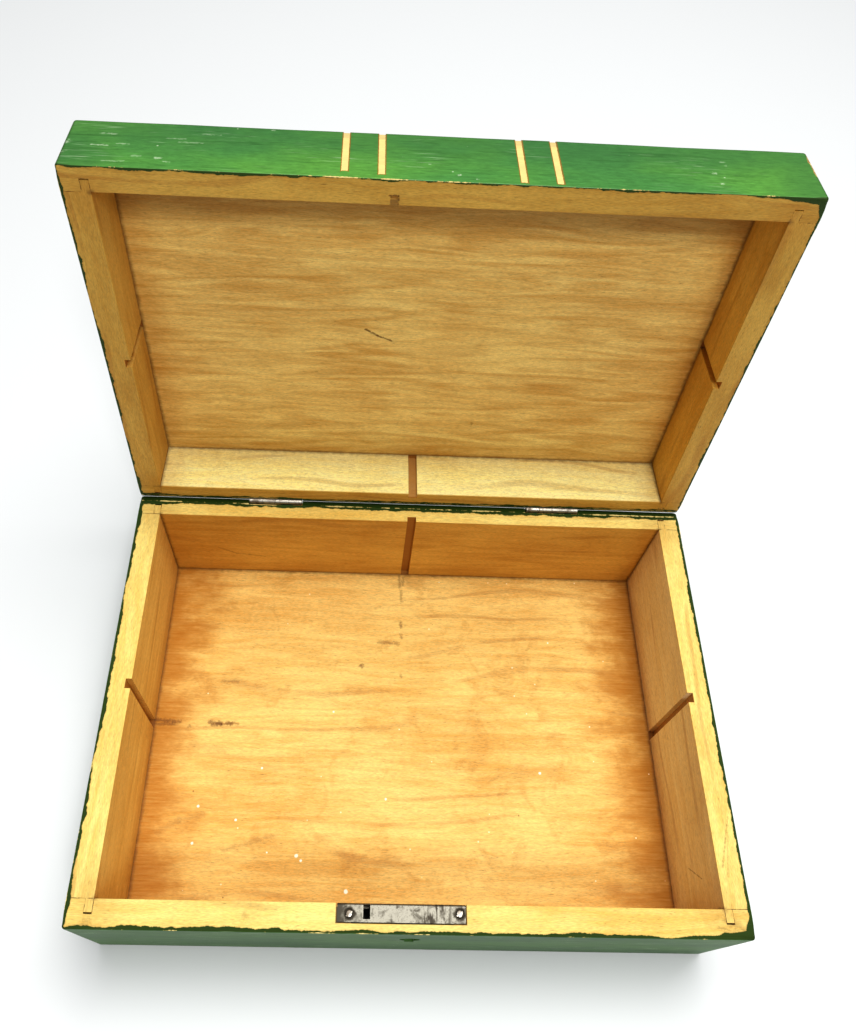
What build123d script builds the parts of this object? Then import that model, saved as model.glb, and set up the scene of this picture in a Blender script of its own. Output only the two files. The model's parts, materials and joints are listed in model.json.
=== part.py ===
"""Hinged wooden box with a painted outside, a half-mortise lock and two small butt hinges.

The model is in millimetres, +Z up, with its origin at the centre of the underside. X runs along
the front, from the left end to the right end, and Y runs from the front to the back. Everything is
modelled with the lid closed, and then the lid's pieces are turned about the hinge pins to stand open.
"""

import math
import os

from build123d import *

# Driving dimensions of the box
box_width = 250.0
box_depth = 177.0
wall = 10.0
floor_thickness = 5.0
base_height = 62.5  # from the underside to the parting plane
lid_height = 27.5  # from the parting plane to the top
top_thickness = 4.0
rim_gap = 0.2  # between the two rims when the lid is down
lid_open_angle = 97.0

# Edges
base_corner_radius = 1.0
lid_corner_radius = 1.5
top_edge_radius = 1.3

# Corner joints: a barefaced tongue on each end board stands in a groove in the front and back boards
tongue_thickness = 3.0
tongue_length = 4.5
tongue_end_gap = 0.5

# Grooves that hold loose dividers
divider_groove_width = 4.0
divider_groove_depth = 2.3

# Back edges, bevelled so that the lid can lean back
bevel_depth = 3.4
bevel_drop = 1.9

# Scribed lines that run up the lid's front, across its top and down its back
line_places = (-33.1, -21.1, 25.1, 36.9)
line_front_ends = (3.7, 2.6, 1.4, 1.5)  # above the lid's rim
line_back_end = 3.5
line_width = 2.2
line_depth = 0.35

# Hinges
hinge_places = (-63.0, 65.5)
hinge_length = 24.0
hinge_knuckles = 4
knuckle_radius = 1.5
knuckle_gap = 0.15
leaf_thickness = 0.8
leaf_height = 9.0
hinge_pin_radius = 0.7
hinge_pin_clearance = 0.03
hinge_pin_inset = 1.6  # from the back face to the pin's axis
gain_reach = 1.9  # the notch for the knuckles, in front of the pin's axis
gain_drop = 2.2
hinge_side_clearance = 0.3
leaf_cut_drop = 2.1  # how far a leaf is cut back beside the other leaf's knuckles

# Small round-headed screws
screw_head_radius = 1.4
hinge_screw_head = 0.7
hinge_screw_radius = 0.75
hinge_screw_length = 6.0
hinge_screw_spacing = 13.0
lock_screw_radius = 0.8
lock_screw_length = 9.0
screw_slot_width = 0.45
screw_slot_depth = 0.3
pilot_clearance = 0.02

# Lock
lock_left = -27.5
lock_right = 19.2
lock_sheet = 1.2
lock_plate_depth = 6.2
lock_height = 30.0
lock_gap = 0.3  # between the face plate and its mortise
lock_sink = 0.1  # the face plate lies this far under the rim
lock_bend_radius = 0.9
catch_slot_left = -18.0
catch_slot_width = 2.5
catch_slot_front = 4.8  # from the outer face of the front board
catch_slot_back = 9.5
lock_screw_places = ((-23.1, 6.5), (17.1, 7.0))  # X, and Y from the outer face
lock_screw_sinking_radius = 1.8
lock_screw_sinking = 0.7
lock_screw_head = 0.8
back_screw_places = (-24.6, 16.3)
back_screw_drop = 26.5
case_left = -22.0
case_right = 14.5
case_height = 28.0
case_depth = 5.1
case_sheet = 0.8
case_flange_reach = 3.4
case_flange_height = 5.0
case_flange_drop = 14.0
rivet_radius = 0.8
key_drop = 18.5  # from the rim to the key's centre
key_post_radius = 1.3
key_post_length = 5.1
keyhole_radius = 3.9
keyhole_slot_width = 3.6
keyhole_slot_drop = 8.0
case_keyhole_radius = 2.6
case_keyhole_slot_width = 2.4
case_keyhole_slot_drop = 6.6
peg_radius = 1.1
peg_places = (-3.5, 5.2)
peg_drop = 6.0
bolt_thickness = 2.0
bolt_side_gap = 0.3
bolt_throw = 5.2
spring_sheet = 0.4
spring_width = 1.8
spring_left = -5.0
spring_length = 15.0
bolt_drop = 3.2  # from the lock's top to the bolt's upper edge
bolt_height = 9.8
bolt_left = -8.0
bolt_right = 13.3
finger_gap = 0.8  # from the face plate's slot to the bolt's finger
finger_drop = 4.4
finger_height = 4.2
talon_height = 2.8

# The lid's empty recess for a catch
recess_width = 2.5
recess_reach = 3.6
recess_height = 3.2

# Places that follow from the dimensions above
front = -box_depth / 2
back = box_depth / 2
left = -box_width / 2
right = box_width / 2
inner_front = front + wall
inner_back = back - wall
base_rim = base_height - rim_gap / 2
lid_rim = base_height + rim_gap / 2
lid_wall_top = base_height + lid_height - top_thickness
lid_top = base_height + lid_height
pin_y = back - hinge_pin_inset
leaf_outer = pin_y + knuckle_radius
leaf_inner = leaf_outer - leaf_thickness
lock_top = base_rim - lock_sink
plate_back = inner_front - lock_sheet  # the mechanism's side of the lock's back plate
catch_x = catch_slot_left + catch_slot_width / 2

OVERCUT = 5.0  # how far a cutting tool passes beyond a free face


def block(x, y, z):
    """A box between two places on each axis."""
    size = (x[1] - x[0], y[1] - y[0], z[1] - z[0])
    middle = (sum(x) / 2, sum(y) / 2, sum(z) / 2)
    return Pos(*middle) * Box(*size)


def rod_y(x, z, radius, y):
    """A round bar along Y between two places."""
    bar = Cylinder(radius, y[1] - y[0])
    return Pos(x, sum(y) / 2, z) * Rot(90, 0, 0) * bar


def rod_z(x, y, radius, z):
    """A round bar along Z between two places."""
    return Pos(x, y, sum(z) / 2) * Cylinder(radius, z[1] - z[0])


def prism_x(points, x):
    """A solid whose outline in Y and Z is the points, between two places on X."""
    outline = make_face(Polyline(*[(x[0], y, z) for y, z in points], close=True))
    return extrude(outline, amount=x[1] - x[0], dir=(1, 0, 0))


def round_upright_edges(board, side, radius):
    """Rounds a board's two upright edges on its front (0) or back (-1) face."""
    return fillet(board.edges().filter_by(Axis.Z).group_by(Axis.Y)[side], radius)


# Woodwork


def long_board(z, outer, inner, corner_radius):
    """A front or back board, full width, with the two grooves that take the end boards' tongues."""
    side = 1 if inner > outer else -1
    board = block((left, right), sorted((outer, inner)), z)
    board = round_upright_edges(board, 0 if side > 0 else -1, corner_radius)
    groove_end = inner - side * (tongue_length + tongue_end_gap)
    for end in (-1, 1):
        across = sorted((end * (right - wall), end * (right - wall + tongue_thickness)))
        along = sorted((inner + side * OVERCUT, groove_end))
        board -= block(across, along, (z[0] - OVERCUT, z[1] + OVERCUT))
    return board


def end_board(z, end):
    """A left (-1) or right (1) board with its two tongues and the groove for a divider."""
    across = sorted((end * right, end * (right - wall)))
    board = block(across, (inner_front, inner_back), z)
    across = sorted((end * (right - wall), end * (right - wall + tongue_thickness)))
    board += block(across, (inner_front - tongue_length, inner_back + tongue_length), z)
    reach = sorted((end * (right - wall - OVERCUT), end * (right - wall + divider_groove_depth)))
    half = divider_groove_width / 2
    return board - block(reach, (-half, half), (z[0] - OVERCUT, z[1] + OVERCUT))


def cut_back_board(board, z, up):
    """Cuts a back board's divider groove, its bevel, and the seats for both hinges."""
    half = divider_groove_width / 2
    across_groove = (inner_back - OVERCUT, inner_back + divider_groove_depth)
    board -= block((-half, half), across_groove, (z[0] - OVERCUT, z[1] + OVERCUT))
    slope = bevel_drop / bevel_depth
    bevel = [
        (back - bevel_depth - OVERCUT, base_height - up * slope * OVERCUT),
        (back + OVERCUT, base_height + up * (bevel_drop + slope * OVERCUT)),
        (back + OVERCUT, base_height - up * slope * OVERCUT),
    ]
    board -= prism_x(bevel, (left - OVERCUT, right + OVERCUT))
    for place in hinge_places:
        board -= hinge_seat(place, up)
    return board


def hinge_seat(place, up):
    """The notch for a hinge's knuckles and the shallow mortise for its leaf, with the pilot holes."""
    half = hinge_length / 2 + hinge_side_clearance
    across = (place - half, place + half)
    notch_height = sorted((base_height, base_height + up * gain_drop))
    seat = block(across, (pin_y - gain_reach, back + OVERCUT), notch_height)
    leaf_end = base_height + up * (leaf_height + hinge_side_clearance / 2)
    seat += block(across, (leaf_inner, back + OVERCUT), sorted((base_height, leaf_end)))
    for x, z in hinge_screw_centres(place, up):
        hole = (leaf_inner - hinge_screw_length, leaf_inner + OVERCUT)
        seat += rod_y(x, z, hinge_screw_radius + pilot_clearance, hole)
    return seat


def line_cutters(core):
    """Slabs for the scribed lines, with the core that they leave standing taken out of them."""
    cutters = []
    for place in line_places:
        across = (place - line_width / 2, place + line_width / 2)
        slab = block(across, (front - OVERCUT, back + OVERCUT), (lid_wall_top, lid_top + OVERCUT))
        cutters.append(slab - core)
    return cutters


def rounded_panel(inset):
    """The lid's top panel, or the same panel drawn in by an inset all round and from above."""
    panel = block(
        (left + inset, right - inset),
        (front + inset, back - inset),
        (lid_wall_top, lid_top - inset),
    )
    panel = fillet(panel.edges().filter_by(Axis.Z), lid_corner_radius - inset)
    return fillet(panel.faces().sort_by(Axis.Z)[-1].edges(), top_edge_radius - inset)


def base_floor():
    """The bottom sheet, glued under the four walls."""
    sheet = block((left, right), (front, back), (0, floor_thickness))
    return fillet(sheet.edges().filter_by(Axis.Z), base_corner_radius)


def base_front_wall():
    """The front board, with the lock's mortise and the keyhole."""
    z = (floor_thickness, base_rim)
    return long_board(z, front, inner_front, base_corner_radius) - lock_mortise()


def base_back_wall():
    """The back board, bevelled along its top."""
    z = (floor_thickness, base_rim)
    return cut_back_board(long_board(z, back, inner_back, base_corner_radius), z, -1)


def lid_front_wall():
    """The lid's front board, with its scribed lines and the recess for the missing catch."""
    z = (lid_rim, lid_wall_top)
    board = long_board(z, front, inner_front, lid_corner_radius)
    for place, end in zip(line_places, line_front_ends):
        across = (place - line_width / 2, place + line_width / 2)
        up = (lid_rim + end, lid_wall_top + OVERCUT)
        board -= block(across, (front - OVERCUT, front + line_depth), up)
    across = (catch_x - recess_width / 2, catch_x + recess_width / 2)
    along = (inner_front - recess_reach, inner_front + OVERCUT)
    return board - block(across, along, (lid_rim - OVERCUT, lid_rim + recess_height))


def lid_back_wall():
    """The lid's back board, bevelled along its rim."""
    z = (lid_rim, lid_wall_top)
    board = cut_back_board(long_board(z, back, inner_back, lid_corner_radius), z, 1)
    for place in line_places:
        across = (place - line_width / 2, place + line_width / 2)
        up = (lid_rim + line_back_end, lid_wall_top + OVERCUT)
        board -= block(across, (back - line_depth, back + OVERCUT), up)
    return board


def lid_top_panel():
    """The top sheet, glued over the lid's four walls, with the scribed lines across it."""
    panel = rounded_panel(0)
    for cutter in line_cutters(rounded_panel(line_depth)):
        panel -= cutter
    return panel


# Hinges


def hinge_screw_centres(place, up):
    """The two screws of one leaf, as X and Z."""
    z = base_height + up * (leaf_height + leaf_cut_drop) / 2
    return [(place + end * hinge_screw_spacing / 2, z) for end in (-1, 1)]


def knuckle_spans(place, own):
    """The X spans of the knuckles of one leaf: own is 0 for the base's leaf and 1 for the lid's."""
    pitch = hinge_length / hinge_knuckles
    start = place - hinge_length / 2
    every = [(start + i * pitch, start + (i + 1) * pitch) for i in range(hinge_knuckles)]
    return every[own::2]


def hinge_leaf(place, up, own):
    """A leaf with its knuckles, rolled towards the wood, bored for the pin."""
    half = hinge_length / 2
    leaf_z = sorted((base_height, base_height + up * leaf_height))
    leaf = block((place - half, place + half), (leaf_inner, leaf_outer), leaf_z)
    cut_z = sorted((base_height - up * OVERCUT, base_height + up * leaf_cut_drop))
    for span in knuckle_spans(place, 1 - own):
        wider = (span[0] - knuckle_gap / 2, span[1] + knuckle_gap / 2)
        leaf -= block(wider, (leaf_inner - OVERCUT, leaf_outer + OVERCUT), cut_z)
    for span in knuckle_spans(place, own):
        length = span[1] - span[0] - knuckle_gap
        barrel = Rot(0, 90, 0) * Cylinder(knuckle_radius, length)
        leaf += Pos(sum(span) / 2, pin_y, base_height) * barrel
    bore_radius = hinge_pin_radius + hinge_pin_clearance
    bore = Rot(0, 90, 0) * Cylinder(bore_radius, hinge_length + OVERCUT)
    leaf -= Pos(place, pin_y, base_height) * bore
    for x, z in hinge_screw_centres(place, up):
        hole_radius = hinge_screw_radius + pilot_clearance
        leaf -= rod_y(x, z, hole_radius, (leaf_inner - OVERCUT, leaf_outer + OVERCUT))
    return leaf


def hinge_pin(place):
    """The pin, as long as the barrel."""
    pin = Rot(0, 90, 0) * Cylinder(hinge_pin_radius, hinge_length)
    return Pos(place, pin_y, base_height) * pin


def hinge_screws(place, up):
    """The two round-headed screws that hold one leaf."""
    screws = []
    for x, z in hinge_screw_centres(place, up):
        at = Pos(x, leaf_outer, z) * Rot(-90, 0, 0)
        screws.append(at * screw(hinge_screw_head, hinge_screw_radius, hinge_screw_length))
    return screws


def screw(head, shank_radius, shank_length):
    """A slotted, domed screw that stands on the XY plane with its shank below."""
    dome = Pos(0, 0, head / 2) * Cylinder(screw_head_radius, head)
    dome = fillet(dome.edges().sort_by(Axis.Z)[-1], head * 0.7)
    shank = rod_z(0, 0, shank_radius, (-shank_length, 0))
    tip = shank.edges().sort_by(Axis.Z)[0]
    shank = chamfer(tip, shank_radius * 0.6, shank_radius * 0.6)
    half = screw_slot_width / 2
    wide = (-screw_head_radius - OVERCUT, screw_head_radius + OVERCUT)
    slot = block(wide, (-half, half), (head - screw_slot_depth, head + OVERCUT))
    return dome + shank - Rot(0, 0, 35) * slot


# Lock


def keyhole(radius, slot_width, slot_drop, y):
    """A round hole with a slot below it, along Y."""
    z = base_rim - key_drop
    slot = block((-slot_width / 2, slot_width / 2), y, (z - slot_drop, z))
    return rod_y(0, z, radius, y) + slot


def lock_mortise():
    """Everything that is cut from the front board for the lock, its screws and its key."""
    past_rim = lock_top + OVERCUT
    past_face = inner_front + OVERCUT
    wide = (lock_left - lock_gap, lock_right + lock_gap)
    plate_y = (inner_front - lock_plate_depth - lock_gap, past_face)
    mortise = block(wide, plate_y, (lock_top - lock_sheet, past_rim))
    mortise += block(wide, (plate_back, past_face), (lock_top - lock_height - lock_gap, past_rim))
    case_x = (case_left - lock_gap, case_right + lock_gap)
    case_y = (plate_back - case_depth - lock_gap, past_face)
    mortise += block(case_x, case_y, (lock_top - case_height - lock_gap, past_rim))
    flange_x = (case_left - case_flange_reach - lock_gap, case_right + case_flange_reach + lock_gap)
    flange_half = case_flange_height / 2 + lock_gap
    flange_z = (lock_top - case_flange_drop - flange_half, lock_top - case_flange_drop + flange_half)
    mortise += block(flange_x, (plate_back - case_sheet - lock_gap, past_face), flange_z)
    through = (front - OVERCUT, inner_front)
    mortise += keyhole(keyhole_radius, keyhole_slot_width, keyhole_slot_drop, through)
    radius = lock_screw_radius + pilot_clearance
    for x, y in lock_screw_places:
        mortise += rod_z(x, front + y, radius, (lock_top - lock_screw_sinking - lock_screw_length, past_rim))
    for x in back_screw_places:
        hole = (inner_front - hinge_screw_length, past_face)
        mortise += rod_y(x, lock_top - back_screw_drop, hinge_screw_radius + pilot_clearance, hole)
    return mortise


def lock_body():
    """The face plate and back plate, bent from one sheet."""
    wide = (lock_left, lock_right)
    plate = block(wide, (inner_front - lock_plate_depth, inner_front), (lock_top - lock_sheet, lock_top))
    plate += block(wide, (plate_back, inner_front), (lock_top - lock_height, lock_top))
    bend = plate.edges().filter_by(Axis.X).group_by(Axis.Z)[-1].sort_by(Axis.Y)[-1]
    plate = fillet(bend, lock_bend_radius)
    slot_y = (front + catch_slot_front, front + catch_slot_back)
    slot_x = (catch_slot_left, catch_slot_left + catch_slot_width)
    plate -= block(slot_x, slot_y, (lock_top - lock_sheet - OVERCUT, lock_top + OVERCUT))
    for x, y in lock_screw_places:
        sinking = (lock_top - lock_screw_sinking, lock_top + OVERCUT)
        plate -= rod_z(x, front + y, lock_screw_sinking_radius, sinking)
        through = (lock_top - lock_sheet - OVERCUT, lock_top)
        plate -= rod_z(x, front + y, lock_screw_radius + pilot_clearance, through)
    across = (plate_back - OVERCUT, inner_front + OVERCUT)
    for x in back_screw_places:
        plate -= rod_y(x, lock_top - back_screw_drop, hinge_screw_radius + pilot_clearance, across)
    for x in rivet_places():
        plate -= rod_y(x, lock_top - case_flange_drop, rivet_radius, across)
    for x in peg_places:
        plate -= rod_y(x, lock_top - peg_drop, peg_radius, across)
    return plate - rod_y(0, base_rim - key_drop, key_post_radius, across)


def rivet_places():
    """The X places of the two rivets that hold the case on."""
    return (case_left - case_flange_reach / 2, case_right + case_flange_reach / 2)


def lock_case():
    """The pressed tray that covers the mechanism, with its two flanges and its keyhole."""
    y = (plate_back - case_depth, plate_back)
    z = (lock_top - case_height, lock_top - lock_sheet)
    case = block((case_left, case_right), y, z)
    case = fillet(case.edges().filter_by(Axis.Y).group_by(Axis.Z)[0], 2 * case_sheet)
    inside = ((case_left + case_sheet, case_right - case_sheet), (y[0] + case_sheet, y[1] + OVERCUT))
    case -= block(*inside, (z[0] + case_sheet, z[1] + OVERCUT))
    half = case_flange_height / 2
    flange_z = (lock_top - case_flange_drop - half, lock_top - case_flange_drop + half)
    flange_y = (plate_back - case_sheet, plate_back)
    case += block((case_left - case_flange_reach, case_left + case_sheet), flange_y, flange_z)
    case += block((case_right - case_sheet, case_right + case_flange_reach), flange_y, flange_z)
    for x in rivet_places():
        case -= rod_y(x, lock_top - case_flange_drop, rivet_radius, flange_y)
    through = (y[0] - OVERCUT, y[0] + case_sheet + OVERCUT / 5)
    return case - keyhole(case_keyhole_radius, case_keyhole_slot_width, case_keyhole_slot_drop, through)


def lock_rivets():
    """Two rivets with low heads inside the box."""
    rivets = []
    for x in rivet_places():
        z = lock_top - case_flange_drop
        shank = rod_y(x, z, rivet_radius, (plate_back - case_sheet, inner_front))
        head = rod_y(x, z, rivet_radius * 1.6, (inner_front, inner_front + 0.4))
        head = fillet(head.edges().sort_by(Axis.Y)[-1], 0.3)
        rivets.append(shank + head)
    return rivets


def lock_key_post():
    """The post that a pipe key turns on."""
    post = rod_y(0, base_rim - key_drop, key_post_radius, (plate_back - key_post_length, inner_front))
    return chamfer(post.edges().sort_by(Axis.Y)[0], 0.3)


def lock_guide_pegs():
    """The two pegs that the bolt slides on."""
    z = lock_top - peg_drop
    end = plate_back - case_depth + case_sheet + 0.2
    return [rod_y(x, z, peg_radius, (end, inner_front)) for x in peg_places]


def lock_bolt():
    """The sliding bolt, drawn back: its finger passes under the face plate's slot when thrown left."""
    y = (plate_back - bolt_side_gap - bolt_thickness, plate_back - bolt_side_gap)
    through = (y[0] - OVERCUT, y[1] + OVERCUT)
    top = lock_top - bolt_drop
    foot = top - bolt_height
    finger_end = catch_slot_left + catch_slot_width + finger_gap
    finger_top = lock_top - finger_drop
    bolt = block((bolt_left, bolt_right), y, (foot, top))
    bolt += block((finger_end, bolt_left), y, (finger_top - finger_height, finger_top))
    bolt -= block((0, bolt_throw), through, (foot - OVERCUT, foot + talon_height))
    slot_radius = peg_radius + 0.1
    z = lock_top - peg_drop
    for x in peg_places:
        bolt -= rod_y(x, z, slot_radius, through) + rod_y(x + bolt_throw, z, slot_radius, through)
        bolt -= block((x, x + bolt_throw), through, (z - slot_radius, z + slot_radius))
    return bolt


def lock_spring():
    """The bowed strip that presses on the bolt's upper edge and keeps it where the key leaves it."""
    top = lock_top - lock_sheet
    low = lock_top - bolt_drop + 0.15 + spring_sheet
    y = plate_back - bolt_side_gap - bolt_thickness / 2 - spring_width / 2
    ends = ((spring_left, y, top), (spring_left + spring_length, y, top))
    dip = (spring_left + spring_length / 2, y, low)
    upper = ThreePointArc(ends[0], dip, ends[1])
    lower = upper.translate((0, 0, -spring_sheet))
    sides = [Line(upper @ 0, lower @ 0), Line(upper @ 1, lower @ 1)]
    return extrude(make_face(Wire([upper, lower, *sides])), amount=spring_width, dir=(0, 1, 0))


def lock_plate_screws():
    """The two screws that show in the face plate."""
    screws = []
    for x, y in lock_screw_places:
        at = Pos(x, front + y, lock_top - lock_screw_sinking)
        screws.append(at * screw(lock_screw_head, lock_screw_radius, lock_screw_length))
    return screws


def lock_back_screws():
    """The two screws low in the back plate, seen from inside the box."""
    screws = []
    for x in back_screw_places:
        at = Pos(x, inner_front, lock_top - back_screw_drop) * Rot(-90, 0, 0)
        screws.append(at * screw(hinge_screw_head, hinge_screw_radius, hinge_screw_length))
    return screws


def hinge_set(name, place):
    """One hinge's pieces, as those of the base and those of the lid."""
    of_base = {
        f"{name}_hinge_base_leaf": hinge_leaf(place, -1, 0),
        f"{name}_hinge_pin": hinge_pin(place),
        f"{name}_hinge_base_screws": hinge_screws(place, -1),
    }
    of_lid = {
        f"{name}_hinge_lid_leaf": hinge_leaf(place, 1, 1),
        f"{name}_hinge_lid_screws": hinge_screws(place, 1),
    }
    return of_base, of_lid


def opened(shape):
    """Turns a piece of the closed lid about the pins to where the open lid holds it."""
    axis = Axis((0, pin_y, base_height), (1, 0, 0))
    return shape.rotate(axis, -lid_open_angle)


def write(name, pieces):
    """Writes one node, which is a single solid or a group of alike ones."""
    shape = Compound(children=list(pieces)) if isinstance(pieces, list) else pieces
    export_step(shape, f"parts/{name}.step")


base_pieces = {
    "base_floor": base_floor(),
    "base_front_wall": base_front_wall(),
    "base_back_wall": base_back_wall(),
    "base_left_wall": end_board((floor_thickness, base_rim), -1),
    "base_right_wall": end_board((floor_thickness, base_rim), 1),
    "lock_body": lock_body(),
    "lock_case": lock_case(),
    "lock_rivets": lock_rivets(),
    "lock_key_post": lock_key_post(),
    "lock_guide_pegs": lock_guide_pegs(),
    "lock_bolt": lock_bolt(),
    "lock_spring": lock_spring(),
    "lock_plate_screws": lock_plate_screws(),
    "lock_back_screws": lock_back_screws(),
}
lid_pieces = {
    "lid_top_panel": lid_top_panel(),
    "lid_front_wall": lid_front_wall(),
    "lid_back_wall": lid_back_wall(),
    "lid_left_wall": end_board((lid_rim, lid_wall_top), -1),
    "lid_right_wall": end_board((lid_rim, lid_wall_top), 1),
}
for hinge_name, hinge_place in zip(("left", "right"), hinge_places):
    hinge_of_base, hinge_of_lid = hinge_set(hinge_name, hinge_place)
    base_pieces.update(hinge_of_base)
    lid_pieces.update(hinge_of_lid)

os.makedirs("parts", exist_ok=True)
for node, made in base_pieces.items():
    write(node, made)
for node, made in lid_pieces.items():
    write(node, [opened(piece) for piece in made] if isinstance(made, list) else opened(made))
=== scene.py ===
"""The looks of the hinged wooden box: worn painted boards, bare wood inside, hinges and an inset lock.

Pieces are made in the lid-down frame, where the boards are square to the axes. The lid's pieces are
then turned about the hinge pins, as the frame holds them. Places and lengths are in millimetres
until piece() scales them.
"""

import json
import math

import bmesh
import bpy
from mathutils import Matrix, Vector, noise


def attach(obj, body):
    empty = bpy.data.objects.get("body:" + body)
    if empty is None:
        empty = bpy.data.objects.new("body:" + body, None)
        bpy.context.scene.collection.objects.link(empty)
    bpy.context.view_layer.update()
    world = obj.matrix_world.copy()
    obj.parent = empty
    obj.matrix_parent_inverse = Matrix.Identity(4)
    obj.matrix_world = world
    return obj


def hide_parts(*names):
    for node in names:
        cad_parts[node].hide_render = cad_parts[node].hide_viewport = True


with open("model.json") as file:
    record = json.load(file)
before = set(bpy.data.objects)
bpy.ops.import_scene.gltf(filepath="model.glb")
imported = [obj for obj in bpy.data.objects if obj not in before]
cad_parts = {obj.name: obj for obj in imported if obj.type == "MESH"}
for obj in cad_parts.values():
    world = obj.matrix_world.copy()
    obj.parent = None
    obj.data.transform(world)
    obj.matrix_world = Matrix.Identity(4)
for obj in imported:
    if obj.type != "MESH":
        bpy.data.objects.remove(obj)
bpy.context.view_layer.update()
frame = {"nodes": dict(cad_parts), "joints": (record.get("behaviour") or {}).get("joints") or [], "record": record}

MM = 0.001

# The camera
IMAGE_SIZE = (856, 1035)
FOCAL_PIXELS = 911.1
AXIS_PIXEL = (390.7, 429.4)
SENSOR = 36.0
CAMERA_PLACE = (-25.14, -120.38, 433.33)
CAMERA_TURN = 3.418
CAMERA_TILT = 56.012
CAMERA_ROLL = 4.829

# What the frame says
hinge_joint = next(joint for joint in frame["joints"] if joint["name"] == "lid_hinge")
pin_place = Vector(hinge_joint["pos_m"])
open_angle = math.radians(hinge_joint["range_deg"][1])
lid_turn = (
    Matrix.Translation(pin_place)
    @ Matrix.Rotation(-open_angle, 4, "X")
    @ Matrix.Translation(-pin_place)
)
body_of = {
    node: body
    for body, nodes in frame["record"]["behaviour"]["bodies"].items()
    for node in nodes
}


def closed_mesh(node):
    """A copy of a CAD node's mesh as a closed bmesh, in millimetres, with the lid turned down."""
    mesh = bmesh.new()
    mesh.from_mesh(frame["nodes"][node].data)
    if body_of[node] == "lid":
        mesh.transform(lid_turn.inverted())
    mesh.transform(Matrix.Scale(1 / MM, 4))
    bmesh.ops.remove_doubles(mesh, verts=mesh.verts, dist=0.0005)
    return mesh


def closed_box(node):
    """The lowest and highest corners of a node with the lid down, in millimetres."""
    mesh = closed_mesh(node)
    corners = [Vector(pick(v.co[i] for v in mesh.verts) for i in range(3)) for pick in (min, max)]
    mesh.free()
    return corners


front_low, front_high = closed_box("base_front_wall")
back_high = closed_box("base_back_wall")[1]
floor_low, floor_high = closed_box("base_floor")
top_low, top_high = closed_box("lid_top_panel")
plate_low, plate_high = closed_box("lock_body")
half_width = front_high.x
half_depth = back_high.y
wall = front_high.y - front_low.y
parting = pin_place.z / MM
cavity_floor = floor_high.z
cavity_ceiling = top_low.z
lid_top = top_high.z
inner_width = half_width - wall
inner_depth = half_depth - wall

# The box's small features, as the CAD boards have them
BEVEL_DEPTH = 3.4
BEVEL_DROP = 1.9
TONGUE_THICKNESS = 3.0
TONGUE_LENGTH = 5.0
DIVIDER_GROOVE = 4.0
DIVIDER_GROOVE_DEPTH = 2.3
LINES = ((-33.1, 3.7), (-21.1, 2.6), (25.1, 1.4), (36.9, 1.5))  # X, and the front end above the rim
LINE_BACK_END = 3.5
LINE_WIDTH = 2.2
LOCK_SCREWS = ((-23.1, -82.0), (17.1, -81.5))


# Geometry

SMOOTH_ANGLE = math.radians(35)


def piece(name, mesh, body, material):
    """Turns a bmesh in millimetres, with the lid down, into an object that rides on a body."""
    mesh.transform(Matrix.Scale(MM, 4))
    for face in mesh.faces:
        face.smooth = True
    for edge in mesh.edges:
        edge.smooth = edge.calc_face_angle(0) < SMOOTH_ANGLE
    data = bpy.data.meshes.new(name)
    mesh.to_mesh(data)
    mesh.free()
    data.materials.append(material)
    made = bpy.data.objects.new(name, data)
    bpy.context.scene.collection.objects.link(made)
    if body == "lid":
        made.matrix_world = lid_turn
    flat = made.modifiers.new("flat_faces", "WEIGHTED_NORMAL")
    flat.keep_sharp = True
    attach(made, body)
    return made


def intersection(first, second):
    """What two closed bmeshes have in common."""
    objects = []
    for mesh in (first, second):
        data = bpy.data.meshes.new("part")
        mesh.to_mesh(data)
        mesh.free()
        objects.append(bpy.data.objects.new("part", data))
        bpy.context.scene.collection.objects.link(objects[-1])
    modifier = objects[0].modifiers.new("cut", "BOOLEAN")
    modifier.operation = "INTERSECT"
    modifier.solver = "EXACT"
    modifier.object = objects[1]
    bpy.context.view_layer.update()
    evaluated = objects[0].evaluated_get(bpy.context.evaluated_depsgraph_get())
    result = bmesh.new()
    result.from_mesh(evaluated.to_mesh())
    evaluated.to_mesh_clear()
    for made in objects:
        data = made.data
        bpy.data.objects.remove(made)
        bpy.data.meshes.remove(data)
    return result


def rough(place, wavelength, seed=0.0):
    """Smooth noise from about -1 to 1 at a place."""
    return noise.noise(Vector(place) / wavelength + Vector((seed, -seed, 2 * seed)))


EDGE_STEPS = (0.0, 0.1, 0.25, 0.5, 0.9, 1.4, 2.0)
GRID_STEP = 4.0
JOINT_REACH = 3.0  # how far a block runs past a glued joint, so that the joint's faces end flush
CLEAN_DISTANCE = 0.003  # how close two vertices are when they become one


def grid_lines(low, high):
    """Places from low to high, close together near both ends."""
    steps = [s for s in EDGE_STEPS if s < (high - low) / 2 - 0.05]
    first, last = low + steps[-1], high - steps[-1]
    count = max(1, round((last - first) / GRID_STEP))
    middle = [first + (last - first) * i / count for i in range(1, count)]
    return [low + s for s in steps] + middle + [high - s for s in reversed(steps)]


def block_mesh(low, high):
    """A closed box whose six faces are grids."""
    lines = [grid_lines(low[i], high[i]) for i in range(3)]
    mesh = bmesh.new()
    made = {}

    def corner(index):
        if index not in made:
            made[index] = mesh.verts.new([lines[i][index[i]] for i in range(3)])
        return made[index]

    for axis in range(3):
        u, v = (axis + 1) % 3, (axis + 2) % 3
        for end in (0, len(lines[axis]) - 1):
            for a in range(len(lines[u]) - 1):
                for b in range(len(lines[v]) - 1):
                    ring = []
                    for du, dv in ((0, 0), (1, 0), (1, 1), (0, 1)):
                        index = [0, 0, 0]
                        index[axis], index[u], index[v] = end, a + du, b + dv
                        ring.append(corner(tuple(index)))
                    mesh.faces.new(ring if end else ring[::-1])
    return mesh


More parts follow.
